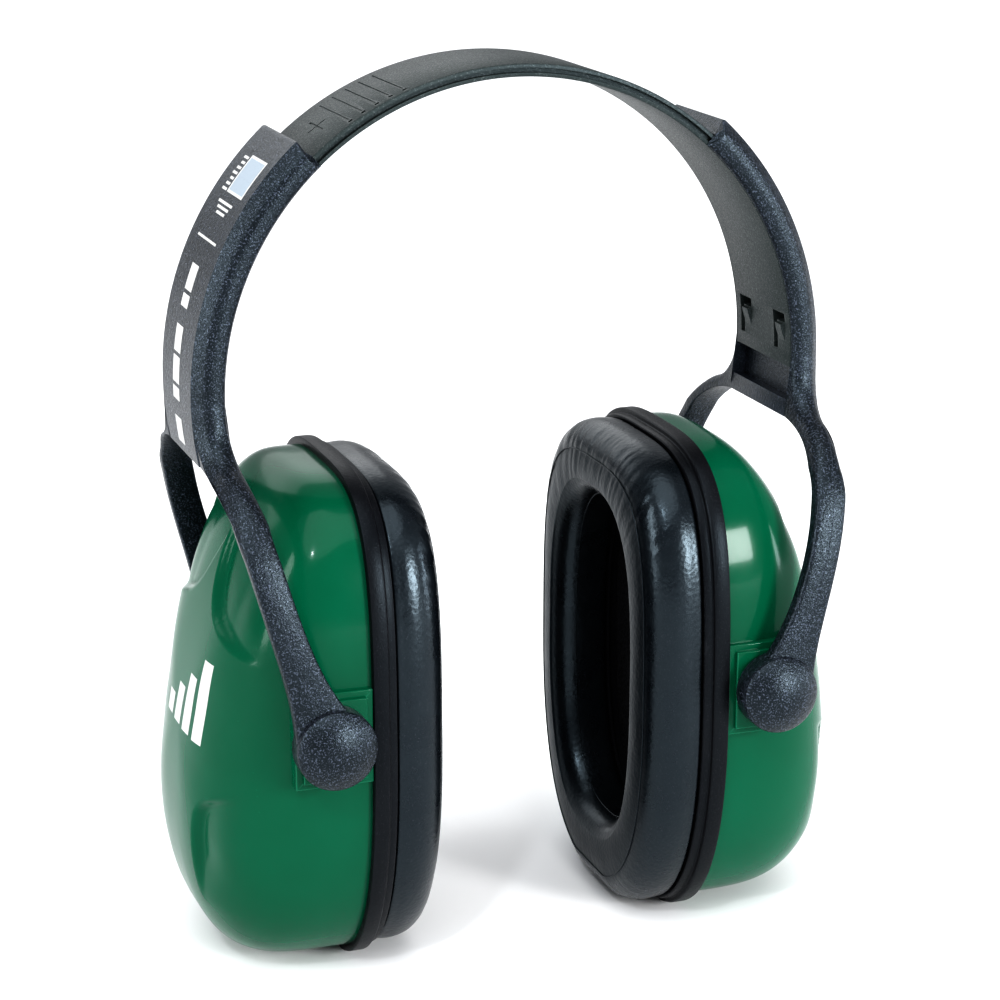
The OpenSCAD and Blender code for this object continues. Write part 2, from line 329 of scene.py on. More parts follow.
def gloss_green(name):
    """Polished plastic: a slight orange peel, and dust that varies the gloss."""
    t = Tree(name, (0.0, 0.072, 0.036), 0.2, 0.08,
             **{"Coat Weight": 0.13, "Coat Roughness": 0.08})
    cloud = t.noise(22, 3, 0.6)
    dark, light, wear_and_highlight = (0.0, 0.066, 0.032, 1), (0.0, 0.080, 0.041, 1), (0.03, 0.27, 0.16, 1)
    base = t.mix(t.remap(cloud, 0.3, 0.7, 0, 1), dark, light)
    # painted highlight: convex edges are painted a lighter green
    base = t.mix(t.math("MULTIPLY", t.edges(0.63, 0.72), 0.2), base, wear_and_highlight)
    peel = t.noise(140, 2, 0.5)
    dust = t.noise(2600, 2, 0.7)
    t.set(t.shader, {"Base Color": base,
                     "Roughness": t.remap(dust, 0.3, 0.75, 0.16, 0.24),
                     "Normal": t.bump(peel, 0.03, 0.5)})
    return t.material


def vinyl(name):
    """Glossy on a cushion's side, satin on its sealing face and inner roll."""
    t = Tree(name, (0.004, 0.004, 0.005), 0.3, 0.40)
    grain = t.cells(1150, "SMOOTH_F1", 0.35)
    fine = t.noise(3200, 2, 0.6)
    soft = t.noise(160, 3, 0.55)
    dark, light = (0.0025, 0.0035, 0.005, 1), (0.004, 0.0055, 0.007, 1)
    base = t.mix(t.remap(soft, 0.3, 0.7, 0, 1), dark, light)
    base = t.mix(t.remap(fine, 0.60, 0.76, 0, 1, True), base, (0.022, 0.022, 0.027, 1))
    across = t.math("ABSOLUTE", t.add("SeparateXYZ", {"Vector": t.place}).outputs["X"], 0.0)
    satin = t.remap(across, (SEAL_X + 0.9) * MM, (SEAL_X + 1.6) * MM, 1, 0, True)
    normal = t.bump(grain, t.remap(satin, 0, 1, 0.30, 0.42), 0.12)
    normal = t.bump(fine, 0.30, 0.04, normal)
    gloss = t.remap(soft, 0.3, 0.7, 0.24, 0.33)
    t.set(t.shader, {"Base Color": base, "Normal": normal, "Specular Tint": COOL,
                     "Roughness": t.math("ADD", gloss, t.math("MULTIPLY", satin, 0.14))})
    return t.material


def foam_material(name):
    t = Tree(name, (0.010, 0.010, 0.011), 0.95, 0.1)
    pores = t.cells(1300)
    dark, light = (0.003, 0.003, 0.004, 1), (0.016, 0.016, 0.018, 1)
    base = t.mix(t.remap(pores, 0.1, 0.6, 0, 1), dark, light)
    t.set(t.shader, {"Base Color": base, "Normal": t.bump(pores, 0.8, 0.4)})
    return t.material


def ink(name, color, wear_and_highlight):
    """Printed ink, worn half through in small spots."""
    t = Tree(name, color, 0.45, 0.4)
    wear = t.remap(t.noise(2400, 3, 0.7), 0.55, 0.75, 0, 1, True)
    base = t.mix(t.math("MULTIPLY", wear, 0.5), (*color, 1), (*wear_and_highlight, 1))
    t.set(t.shader, {"Base Color": base, "Normal": t.bump(t.noise(2600), 0.15, 0.03)})
    return t.material


# the third colour of each plastic is painted on its grain's peaks and edges: painted glints and
# edge highlights
BAND_MAT = grained_plastic("band_plastic", (0.016, 0.021, 0.020), (0.024, 0.030, 0.029),
                           (0.065, 0.075, 0.073), rough=0.42, grain=0.45, grain_scale=1300,
                           glint_at=0.56, specular=0.20)
YOKE_MAT = grained_plastic("yoke_plastic", (0.0015, 0.002, 0.003), (0.004, 0.005, 0.007),
                           (0.060, 0.070, 0.094), rough=0.32, grain=1.0, grain_scale=1300,
                           glint_at=0.53, specular=0.36)
RIM_MAT = grained_plastic("rim_plastic", (0.003, 0.003, 0.004), (0.006, 0.006, 0.007),
                          (0.026, 0.026, 0.030), rough=0.36, grain=0.30, grain_scale=1900,
                          glint_at=0.60, specular=0.14)
GREEN_MAT = gloss_green("cup_green")
VINYL_MAT = vinyl("cushion_vinyl")
FOAM_MAT = foam_material("black_foam")
WHITE_INK = ink("white_ink", (0.50, 0.50, 0.49), (0.25, 0.30, 0.27))
BLUE_INK = ink("pale_blue_ink", (0.28, 0.33, 0.38), (0.14, 0.18, 0.22))

# ------------------------ headband


def on_arc(r, y, degrees):
    """A point r from the centre of the band's arc, at an angle above +X."""
    a = math.radians(degrees)
    return [r * math.cos(a), y, ARC_Z + r * math.sin(a)]


def arc_sweep(profile, angles, caps=None):
    """A solid that follows the arc. Profile is a list of (radius, y) points, or of (radius, y,
    angle to stay back), and may be a function of the angle. Each end is closed by one face, or by
    several convex ones, given in caps as lists of point numbers."""
    rings = []
    for a in angles:
        points = profile(a) if callable(profile) else profile
        rings.append([on_arc(p[0], p[1], a - (p[2] if len(p) == 3 else 0)) for p in points])
    n = len(rings[0])
    faces = grid_faces(len(rings), n)
    for cap in caps or [range(n)]:
        faces += [tuple(cap), tuple((len(rings) - 1) * n + i for i in cap)]
    return [p for ring in rings for p in ring], faces


def mark_tool(degrees, y0, y1, depth, width):
    """A box that cuts a mark into the band's outer face. Its width is along the arc."""
    half = math.degrees(width / 2 / BAND_OUT)
    r0, r1 = BAND_OUT - depth, BAND_OUT + 1
    return arc_sweep([(r0, y0), (r1, y0), (r1, y1), (r0, y1)], [degrees - half, degrees + half])


def add_parts(name, parts, side=1, angle=35):
    """One object from several (verts, faces) solids."""
    verts, faces = [], []
    for v, f in parts:
        first = len(verts)
        verts += list(v)
        faces += [tuple(first + i for i in face) for face in f]
    return build(name, verts, faces, side, angle)


# Marks above a sleeve, in degrees: height graduations, and a plus sign
GRADUATIONS = [SLEEVE_TOP + 9.5 + 2.8 * i for i in range(5)]
PLUS = SLEEVE_TOP + 5.5
# The L-shaped windows at the band's ends: where each begins across the band, and angles
WINDOW_Y = [t * 8.3 - 2.8 for t in (-1, 1)]
WINDOW_START = math.degrees(3.0 / BAND_OUT) - BAND_END
WINDOW_RISE = math.degrees(8.4 / BAND_OUT)
WINDOW_GAP = math.degrees(2.0 / BAND_OUT)


def make_band():
    """The band, with a groove along each edge, its engraved marks and its windows."""
    edge, mid = 0.35, (BAND_OUT + BAND_IN) / 2
    half = [(BAND_OUT, 0), (BAND_OUT, BAND_HALF - edge), (BAND_OUT - 0.1, BAND_HALF - 0.1),
            (BAND_OUT - edge, BAND_HALF), (mid + 0.5, BAND_HALF), (mid + 0.42, BAND_HALF - 0.95),
            (mid - 0.42, BAND_HALF - 0.95), (mid - 0.5, BAND_HALF), (BAND_IN + edge, BAND_HALF),
            (BAND_IN + 0.1, BAND_HALF - 0.1), (BAND_IN, BAND_HALF - edge), (BAND_IN, 0)]
    profile = half + [(r, -y) for r, y in reversed(half[1:-1])]
    angles = np.linspace(-BAND_END, 180 + BAND_END, 220)
    band = build("headband_strip", *arc_sweep(profile, angles))
    tools = []
    for mirror in (False, True):
        def at(a):
            return 180 - a if mirror else a
        for a in GRADUATIONS:
            tools.append(mark_tool(at(a), -BAND_HALF + 3.4, BAND_HALF - 3.4, 0.14, 0.3))
            tools.append(mark_tool(at(a), -BAND_HALF + 1.5, -BAND_HALF + 2.5, 0.45, 0.9))
        tools.append(mark_tool(at(PLUS), -4.5, 4.5, 0.16, 0.4))
        tools.append(mark_tool(at(PLUS), -0.2, 0.2, 0.16, 4.4))
        top = WINDOW_START + WINDOW_RISE
        for y0 in WINDOW_Y:
            for a0, a1, ya, yb in ((WINDOW_START, top, y0 + 3.8, y0 + 5.6),
                                   (top - WINDOW_GAP, top, y0, y0 + 5.6)):
                tools.append(arc_sweep([(BAND_IN - 2, ya), (BAND_OUT + 2, ya),
                                        (BAND_OUT + 2, yb), (BAND_IN - 2, yb)],
                                       np.linspace(at(a0), at(a1), 6)))
    cut(band, add_parts("cutter", tools))
    return shade(band, 30)


def make_tongues():
    """Spring tongues in the band's windows, which stand a little inwards of the band."""
    parts = []
    low, high = WINDOW_START + WINDOW_RISE * 0.15, WINDOW_START + WINDOW_RISE * 0.72
    for mirror in (False, True):
        for y0 in WINDOW_Y:
            angles = np.linspace(low, high, 9)
            angles = [180 - a for a in angles] if mirror else angles

            def wedge(a, y0=y0, first=angles[0], last=angles[-1]):
                k = (a - first) / (last - first)
                k = k * k * (3 - 2 * k) * 0.85 - 0.1    # how far it stands inwards
                return [(BAND_IN + 0.4, y0 + 0.4), (BAND_IN + 0.4, y0 + 3.6),
                        (BAND_IN - k, y0 + 3.4), (BAND_IN - k, y0 + 0.6)]

            parts.append(arc_sweep(wedge, angles))
    return add_parts("headband_tongues", parts)


# ------------------------ yokes


def bezier(p0, p1, p2, t):
    return (1 - t) ** 2 * p0 + 2 * t * (1 - t) * p1 + t * t * p2


# (x, z) control points of the curve that the fork's arms follow, seen from the front
STRIP = [np.array([SLEEVE_OUT - ARM_HALF - 1.2, ARC_Z - 7])]
STRIP += [STRIP[0] - [3.3, 28], np.array([PIVOT.x + 0.5, PIVOT.z])]
SIDE_Y = 15.1             # half the sleeve's width
FILLET = 10.0             # radius where an arm leaves the sleeve
FORK_TOP = PIVOT.z + ARCH_UNDER - 0.2    # height of the sleeve's lower end
BLEND_Z, BLEND_LENGTH = 94.0, 12.5       # where an arm starts to widen towards the sleeve


def strip_edges(z):
    """X of the fork's inner and outer edge at height z, seen from the front."""
    t = np.linspace(0, 1, 60)[:, None]
    centre = bezier(*STRIP, t)
    way = (1 - t) * (STRIP[1] - STRIP[0]) + t * (STRIP[2] - STRIP[1])
    normal = np.stack([-way[:, 1], way[:, 0]], 1) / np.linalg.norm(way, axis=1)[:, None]
    half = ARM_HALF + (BOSS_R - ARM_HALF) * t ** 7
    outer, inner = centre + half * normal, centre - half * normal
    out = np.interp(z, outer[::-1, 1], outer[::-1, 0])
    inn = np.interp(z, inner[::-1, 1], inner[::-1, 0])
    circle = math.sqrt(max(0, BOSS_R ** 2 - (z - PIVOT.z) ** 2))
    if z < inner[-1, 1] + 1:
        inn = max(PIVOT.x - circle, inn) if z > inner[-1, 1] else PIVOT.x - circle
    return inn, out


def arm_edges(z):
    """The strip's edges, widened at the top to meet the sleeve, and how far that has gone."""
    inn, out = strip_edges(z)
    drop = max(z - ARC_Z, -20.0)
    w = float(smoothstep((z - BLEND_Z) / BLEND_LENGTH))
    top_in = math.sqrt(SLEEVE_IN ** 2 - drop ** 2) + 0.04
    top_out = math.sqrt(SLEEVE_OUT ** 2 - drop ** 2) - 0.04
    return inn + (top_in - inn) * w, out + (top_out - out) * w, w


def arm_paths():
    """(y, z) points down an arm's outer and inner face, from inside the sleeve to the pivot."""
    a = np.linspace(math.pi / 2, 0, 240)
    c, s = np.cos(a), np.sin(a)

    def arch(half_w, half_h):
        r = lobe(c, s, half_w, half_h, ARCH_POWER)
        return np.stack([r * c, PIVOT.z + r * s], 1)

    outer, inner = arch(ARM_OUT, ARCH_TOP), arch(ARM_IN, ARCH_UNDER)
    way = np.gradient(outer, axis=0)
    normal = np.stack([-way[:, 1], way[:, 0]], 1) / np.linalg.norm(way, axis=1)[:, None]
    centres = outer + FILLET * normal
    side = SIDE_Y - 0.03
    first = int(np.argmax(centres[:, 0] >= side + FILLET))
    centre = centres[first]
    last = math.atan2(-normal[first, 1], -normal[first, 0]) + 2 * math.pi
    turn = np.linspace(math.pi, last, 24)
    bend = centre + FILLET * np.stack([np.cos(turn), np.sin(turn)], 1)
    bend = np.concatenate([[[side, centre[1] + 2.5]], bend])
    start = int(np.argmax(inner[:, 0] >= BAND_HALF - 0.05))
    under = inner[np.linspace(start, first, len(bend)).astype(int)]
    return np.concatenate([bend, outer[first + 1:]]), np.concatenate([under, inner[first + 1:]])


# Corners of an arm's section, as (in from the edge, down from the face) points: the outer and the
# inner corner where the arm leaves the sleeve, and every corner below that
CORNER_TOP = np.array([(0, 2.9), (1.8, 0.7), (2.4, 0.3), (3.2, 0.0)])
CORNER_IN = np.array([(0, 1.4), (0.45, 0.65), (1.2, 0.2), (2.4, 0.0)])
CORNER_ARM = np.array([(0, 0.9), (0.14, 0.42), (0.42, 0.14), (0.9, 0.0)])


def make_arm(way):
    """A fork arm, swept from inside the sleeve to the boss."""
    rings = []
    outer_path, inner_path = arm_paths()
    along = np.gradient(outer_path, axis=0)
    into = np.stack([along[:, 1], -along[:, 0]], 1) / np.linalg.norm(along, axis=1)[:, None]
    for o, i, under in zip(outer_path, inner_path, into):
        _, _, w = arm_edges((o[1] + i[1]) / 2)
        down = (i - o) / np.linalg.norm(i - o)
        corner = CORNER_ARM + (CORNER_TOP - CORNER_ARM) * w
        inner = CORNER_ARM + (CORNER_IN - CORNER_ARM) * w
        loop = [(1, x, o + under * d) for x, d in corner]
        loop += [(0, x, o + under * d) for x, d in inner[::-1]]
        loop += [(0, x, i - down * d) for x, d in CORNER_ARM * 0.6]
        loop += [(1, x, i - down * d) for x, d in CORNER_ARM[::-1] * 0.6]
        points = []
        for outside, x, (y, z) in loop:
            lo, hi, _ = arm_edges(z)
            points.append([hi - x if outside else lo + x, way * y, z])
        rings.append(points)
    n = len(rings[0])
    faces = grid_faces(len(rings), n)
    faces += [tuple(range(n)), tuple(range((len(rings) - 1) * n, len(rings) * n))]
    return [p for ring in rings for p in ring], faces


def lathe(profile, centre, way, segments=96):
    """A solid of revolution about the line through centre along Y. Profile is (radius, y)."""
    verts = []
    for r, y in profile:
        for k in range(segments):
            w = 2 * math.pi * k / segments
            verts.append([centre.x + r * math.cos(w), way * y, centre.z + r * math.sin(w)])
    n = len(profile)
    faces = grid_faces(n, segments)
    faces += [tuple(range(segments)), tuple(range((n - 1) * segments, n * segments))]
    return verts, faces


# Half of the sleeve's section, as (radius, y): from the middle of its outer face to the inner edge
SLEEVE_HALF = [(SLEEVE_OUT, 0), (SLEEVE_OUT, 6), (SLEEVE_OUT, 12.2), (SLEEVE_OUT - 1.8, 14.4),
               (SLEEVE_OUT - 2.4, 14.8), (SLEEVE_OUT - 3.2, SIDE_Y), (SLEEVE_IN + 2.4, SIDE_Y),
               (SLEEVE_IN + 1.2, SIDE_Y - 0.17), (SLEEVE_IN + 0.45, SIDE_Y - 0.6),
               (SLEEVE_IN, SIDE_Y - 1.32)]


def make_sleeve():
    """The channel round the band with its closed lower end, swept along the arc."""

    def section(a, closed):
        end = max(0.0, a - (SLEEVE_TOP - 0.5)) / 0.5     # the top edge is rounded over 0.5 degrees
        back = 0.30 * end ** 2
        half = []
        for r, y in SLEEVE_HALF:
            # how far a point stays back along the arc: the top's corners are rounded too
            corner = 0.45 * max(0.0, y - 13.4) * max(0.0, a - (SLEEVE_TOP - 2.0)) / 2.0
            if a == WEB_END:      # the lower end is level with the top of the fork's arch
                corner = a + math.degrees(math.asin((ARC_Z - FORK_TOP) / r))
            half.append((r - back * (r > SLEEVE_OUT - 3), y - back * (y > 12), corner))
        if not closed:
            half += [(SLEEVE_IN, CHANNEL, 0), (BAND_OUT + 0.2, CHANNEL, 0)]
            return half[1:] + [(r, -y, s) for r, y, s in reversed(half[1:])] + [half[0]]
        return half + [(r, -y, s) for r, y, s in reversed(half[1:])]

    angles = [*np.linspace(POCKET_END - 0.5, SLEEVE_TOP - 2.2, 70),
              *(SLEEVE_TOP - np.array([2.0, 1.5, 1.0, 0.5, 0.35, 0.2, 0.1, 0.0]))]
    wall = [*range(2, 11)]    # the ends are closed in three convex pieces: the face and two walls
    caps = [[22, 0, 1, 2, 10, 11, 19, 20, 21], wall, [21 - i for i in wall]]
    channel = arc_sweep(lambda a: section(a, False), angles, caps)
    web = arc_sweep(lambda a: section(a, True), np.linspace(WEB_END, POCKET_END, 6))
    return [channel, web]


def make_yoke(name, side):
    """The sleeve, both arms, and the bosses with their pivot studs."""
    parts = make_sleeve()
    for way in (-1, 1):
        parts.append(make_arm(way))
        parts.append(lathe([(BOSS_R - 0.45, BOSS_IN), (BOSS_R - 0.12, BOSS_IN + 0.12),
                            (BOSS_R, BOSS_IN + 0.45), (BOSS_R, BOSS_OUT - 0.3),
                            (BOSS_R - 0.3, BOSS_OUT)], PIVOT, way))
        parts.append(lathe([(2.7, BOSS_IN - 4.6), (2.9, BOSS_IN - 4.4), (2.9, BOSS_IN + 1)],
                           PIVOT, way, 48))
    return add_parts(name, parts, side, 33)


def dome_parts(way):
    """The crisp round cap on a boss."""
    rise = DOME_TOP - BOSS_OUT
    ball = (BOSS_R ** 2 + rise ** 2) / (2 * rise)
    steps = 14
    cap = []
    for k in range(steps + 1):
        r = (BOSS_R - 0.28) * (1 - k / steps) if k < steps else 0.05
        cap.append((r, BOSS_OUT + rise - ball + math.sqrt(ball ** 2 - r ** 2)))
    return lathe([(BOSS_R - 0.6, BOSS_OUT - 1.2), (BOSS_R + 0.02, BOSS_OUT - 1.1),
                  (BOSS_R + 0.02, BOSS_OUT - 0.25), (BOSS_R - 0.08, BOSS_OUT + 0.02), *cap],
                 PIVOT, way)


def parting_path(way):
    """The mould's parting line, down the middle of an arm's outer face."""
    path = []
    for y, z in arm_paths()[0][30::4]:
        if z > PIVOT.z + BOSS_R:
            inn, out, _ = arm_edges(z)
            path.append([(inn + out) / 2 + 0.4, way * (y - 0.03), z])
    return path


# ------------------------ cups

FOOT_FLAT = 0.9           # depth of the flat that a cup stands on


def outline(angle, grow=0.0):
    """(y, z) of a cup's outline about its middle, standing out by grow."""
    c, s = np.cos(angle), np.sin(angle)
    w, h = HALF_W + grow, HALF_H + grow
    r = np.where(s < 0, lobe(c, s, w, h + FOOT_FLAT, 2.4), lobe(c, s, w, h, 3.5))
    return r * c, np.maximum(r * s, -h)


def opening(angle, grow=0.0):
    """(y, z) of the ear opening's outline, standing out by grow."""
    c, s = np.cos(angle), np.sin(angle)
    r = lobe(c, s, OPEN_W + grow, OPEN_H + grow, 2.6)
    return r * c, r * s + OPEN_RISE


def distance_inside(points, corners):
    """How far each (y, z) point lies inside a closed outline, negative outside."""
    corners = np.asarray(corners, float)
    best = np.full(len(points), 1e9)
    inside = np.zeros(len(points), bool)
    for p, q in zip(corners, np.roll(corners, -1, 0)):
        e, w = q - p, points - p
        t = np.clip((w @ e) / (e @ e), 0, 1)
        best = np.minimum(best, np.linalg.norm(w - t[:, None] * e, axis=1))
        crosses = (p[1] > points[:, 1]) != (q[1] > points[:, 1])
        with np.errstate(divide="ignore", invalid="ignore"):
            at = (q[0] - p[0]) * (points[:, 1] - p[1]) / (q[1] - p[1]) + p[0]
        inside ^= crosses & (points[:, 0] < at)
    return np.where(inside, best, -best)


def rounded(corners, times=2):
    """Chaikin's corner cutting, which turns a polygon into a smooth closed curve."""
    pts = np.asarray(corners, float)
    for _ in range(times):
        nxt = np.roll(pts, -1, 0)
        pts = np.stack([0.75 * pts + 0.25 * nxt, 0.25 * pts + 0.75 * nxt], 1).reshape(-1, 2)
    return pts


# The two recesses on each side of a cup's face: (y, z) corners on the front half
UPPER_RECESS = rounded([(1, 98), (-0.3, 90), (-3.2, 82.5), (-7, 78), (-12, 75.4), (-19, 73.6),
                        (-27, 71.2), (-33, 69), (-33, 80), (-28, 89), (-20, 94.5),
                        (-10, 97.5)])
LOWER_RECESS = rounded([(-33, 46.5), (-21.6, 42.6), (-15.4, 39.6), (-13.6, 34), (-12.9, 24),
                        (-12.4, 15), (-19, 15), (-26, 18), (-31, 30), (-34, 40)])
STEP = 1.4                # width of a recess's sloping step
UPPER_DEPTH, LOWER_DEPTH = 1.8, 2.0


def ramp(x):
    """0 to 1 with a nearly straight slope and slightly rounded ends."""
    return 0.6 * np.clip(x, 0, 1) + 0.4 * smoothstep(x)


def recess_depth(y, z):
    """How far the face is sunk at (y, z): two scalloped steps on each side of its middle, which
    fade out towards the cup's edge, the top and the foot."""
    pts = np.stack([-np.abs(y), z], 1)
    up = distance_inside(pts, UPPER_RECESS)
    low = distance_inside(pts, LOWER_RECESS)
    up_fade = smoothstep((99 - z) / 7) * smoothstep((pts[:, 0] + 29) / 13)
    low_fade = smoothstep((z - 16) / 13) * smoothstep((pts[:, 0] + 28) / 13)
    return (UPPER_DEPTH * ramp(up / STEP) * up_fade
            + LOWER_DEPTH * ramp(low / STEP) * low_fade)


def shell_rows(inset, rows, cols):
    """Rings of the dome from the flange inwards, and its apex."""
    angle = np.arange(cols) * 2 * math.pi / cols
    s = np.sin(angle)
    power = 2.6 + np.where(s > 0, 3.0, 2.0) * s ** 4    # fuller at the top and foot
    oy, oz = outline(angle, -inset)
    out = []
    for j in range(rows):
        p = math.pi / 2 * j / rows
        r = lobe(math.cos(p), math.sin(p), 1, 1, power)
        k, d = math.cos(p) * r, math.sin(p) * r
        y, z = oy * k, oz * k + MID_Z
        depth = SHELL_DEPTH - inset - LEAN * ((z - DEEPEST_Z) / LEAN_LENGTH) ** 2
        out.append(np.stack([FLANGE_X + depth * d, y, z], 1))
    depth = SHELL_DEPTH - inset - LEAN * ((MID_Z - DEEPEST_Z) / LEAN_LENGTH) ** 2
    return np.concatenate(out), np.array([[FLANGE_X + depth, 0.0, MID_Z]])


def make_shell(name, side):
    """The green shell, hollow, with its recesses."""
    cols, rows, in_rows = 440, 176, 30
    outer, tip = shell_rows(0.0, rows, cols)
    inner, in_tip = shell_rows(SHELL_WALL, in_rows, cols)
    for pts in (outer, tip, inner, in_tip):
        face = smoothstep((pts[:, 0] - FLANGE_X) / 8)
        pts[:, 0] -= recess_depth(pts[:, 1], pts[:, 2]) * face
    n = len(outer)
    verts = np.concatenate([outer, tip, inner, in_tip])
    faces = grid_faces(rows, cols) + grid_faces(in_rows, cols, n + 1)
    last, in_last = (rows - 1) * cols, n + 1 + (in_rows - 1) * cols
    for c in range(cols):
        d = (c + 1) % cols
        faces.append((last + c, last + d, n))
        faces.append((in_last + c, in_last + d, n + 1 + len(inner)))
        faces.append((c, d, n + 1 + d, n + 1 + c))
    return build(name, verts, faces, side, 50)


def ring(kind, x, grow, cols):
    """One closed ring at x: kind 0 is the cup's outline, 1 the ear opening's, or a blend. Grow
    is how far it stands out, as one number or one for each outline."""
    angle = np.arange(cols) * 2 * math.pi / cols
    if isinstance(grow, tuple):
        cup, hole = grow
    else:
        cup = hole = grow
    y0, z0 = outline(angle, cup)
    y1, z1 = opening(angle, hole)
    y, z = y0 + (y1 - y0) * kind, z0 + (z1 - z0) * kind
    return np.stack([np.full(cols, float(x)), y, z + MID_Z], 1)


def ring_solid(name, side, rings, cols=300, angle=35):
    """A closed ring-shaped solid from (kind, x, grow) rings round its section."""
    verts = np.concatenate([ring(*r, cols) for r in rings])
    return build(name, verts, grid_faces(len(rings), cols, wrap_rows=True), side, angle)


def make_rim(name, side):
    """The black base plate: its rounded outer bead, raised lip and ear opening."""
    g, x = RIM_GROW, RIM_X
    return ring_solid(name, side, [
        (0, FLANGE_X, 0.4), (0, FLANGE_X, g - 0.35), (0, FLANGE_X - 0.12, g - 0.08),
        (0, FLANGE_X - 0.4, g), (0, x + 0.7, g), (0, x + 0.3, g - 0.1), (0, x + 0.06, g - 0.35),
        (0, x, g - 0.7), (0, x - 0.08, 0.62), (0, x - 0.3, 0.45), (0, LIP_X + 0.5, 0.4),
        (0, LIP_X + 0.15, 0.25), (0, LIP_X, 0.0), (0, LIP_X, -0.95), (0, LIP_X + 0.12, -1.25),
        (0, LIP_X + 0.4, -1.4), (0, x - 0.2, -1.4), (0, x - 0.05, -1.5), (0, x, -1.8),
        (0.6, x, (-2, 3)), (1, x, 3.4), (1, x + 0.2, 3.0), (1, PLATE_BACK_X, 3.0),
        (0, PLATE_BACK_X, -2.7), (0, FLANGE_X, -2.7)], angle=28)


def make_back_plate(name, side):
    lo, hi = back_lo.x, back_hi.x
    return ring_solid(name, side, [
        (0, hi, -2.1), (0, hi - 0.2, -1.75), (0, lo + 0.2, -1.75), (0, lo, -2.1),
        (0, lo, -3.5), (1, lo, 2.0), (1, lo + 0.2, 1.3), (1, hi - 0.2, 1.3), (1, hi, 1.6),
        (0, hi, -3.5)])


# ------------------------ cushions

CUSHION_COLS = 168        # points round each ring, before subdivision
CLOTH_FRAMES = 20


def cushion_rings(slack):
    """The cushion's closed section, from its neck round the outside to the opening and back, and
    the number of the ring on the crease between side and sealing face. Slack draws the free
    surface in, so that it has room to swell."""
    back = back_lo.x
    rings = [(0, back - 0.05, -2.2), (0, back - 0.3, -1.9), (0, back - 0.8, -1.7),
             (0, LIP_X - 0.12, -1.3), (0, LIP_X - 0.2, -0.6)]
    rings += [(0, LIP_X - d, g - slack * k) for d, g, k in (
        (0.6, -0.05, 0.4), (1.5, 0.2, 1), (2.8, 0.4, 1), (4.2, 0.4, 1), (5.8, 0.15, 1),
        (7.3, -0.4, 1), (8.7, -1.3, 1), (9.9, -2.6, 1), (10.7, -4.1, 1))]
    crease = len(rings)
    rings += [(0, SEAL_X + 1.1, -5.6)]
    rings += [(k, SEAL_X + rise + slack * 0.8, (-5.6, 0.0))
              for k, rise in ((0.09, 0.52), (0.20, 0.2), (0.34, 0.02), (0.48, 0.0), (0.62, 0.1))]
    rings += [(1, SEAL_X + x, g + slack * 0.6) for x, g in (
        (0.5, 4.3), (1.1, 2.9), (2.1, 1.7), (3.3, 0.9), (4.8, 0.45), (6.8, 0.2))]
    rings += [(1, back - 2.0, 0.2), (1, back - 0.05, 0.3), (0.5, back - 0.05, (-2.2, 0.3))]
    return rings, crease


def swell(obj, rings, crease, cap):
    """Cloth simulation of the cover under the foam's pressure. Each point moves at most cap mm.
    Returns how far the simulation moved its furthest point."""
    cols = CUSHION_COLS
    before = points_of(obj)
    group = obj.vertex_groups.new(name="held")
    for j, (_, x, _) in enumerate(rings):
        if x > LIP_X - 0.4 or j == crease:
            group.add(list(range(j * cols, (j + 1) * cols)), 1.0, "REPLACE")
    mod = obj.modifiers.new("cloth", "CLOTH")
    cloth = mod.settings
    cloth.quality = 6
    cloth.mass = 0.15
    cloth.tension_stiffness = cloth.compression_stiffness = 12
    cloth.shear_stiffness = 6
    cloth.bending_stiffness = 0.4
    cloth.use_pressure = True
    cloth.uniform_pressure_force = 4
    cloth.vertex_group_mass = "held"
    cloth.effector_weights.gravity = 0
    mod.collision_settings.use_collision = False
    mod.collision_settings.use_self_collision = False
    scene = bpy.context.scene
    for f in range(1, CLOTH_FRAMES + 1):
        scene.frame_set(f)
    apply_modifiers(obj)
    scene.frame_set(1)
    after = points_of(obj)
    move = after - before
    size = np.linalg.norm(move, axis=1)
    scale = np.where(size > cap, cap / np.maximum(size, 1e-9), 1)
    set_points(obj, before + move * scale[:, None])
    return size.max()


def wave(x, seed):
    """Smooth repeatable noise from -1 to 1 along a line, one bump per unit."""
    rng = np.random.RandomState(seed)
    table = rng.rand(1024) * 2 - 1
    i = np.floor(x).astype(int)
    f = smoothstep(x - i)
    return table[i % 1024] * (1 - f) + table[(i + 1) % 1024] * f


def wrinkle(obj, side):
    """Gathers on the rolled shoulder round the top and foot, and a loose softness."""
    pts = points_of(obj)
    n = len(obj.data.vertices)
    normals = np.empty(n * 3, np.float32)
    obj.data.vertices.foreach_get("normal", normals)
    normals = normals.reshape(-1, 3)
    y, z = pts[:, 1], pts[:, 2] - MID_Z
    angle = np.arctan2(z / HALF_H, y / HALF_W)
    reach = np.hypot(y / HALF_W, z / HALF_H)
    depth = pts[:, 0] * side - SEAL_X
    arc = (angle + math.pi) * 46    # about the distance in mm along the outline
    seed = 11 if side > 0 else 23
    by_crease = smoothstep((reach - 0.80) / 0.05) * smoothstep((7.5 - depth) / 5)
    top = smoothstep((z - 22) / 16)
    foot = 0.45 * smoothstep((-z - 36) / 8)
    gathers = wave(arc / 1.25 + 0.18 * depth, seed) - 0.5 * np.abs(wave(arc / 2.3, seed + 1))
    move = 0.085 * gathers * by_crease * (top + foot)
    move += 0.05 * wave(arc / 17 + 3, seed + 2) * smoothstep((11 - depth) / 4)
    set_points(obj, pts + normals * move[:, None])


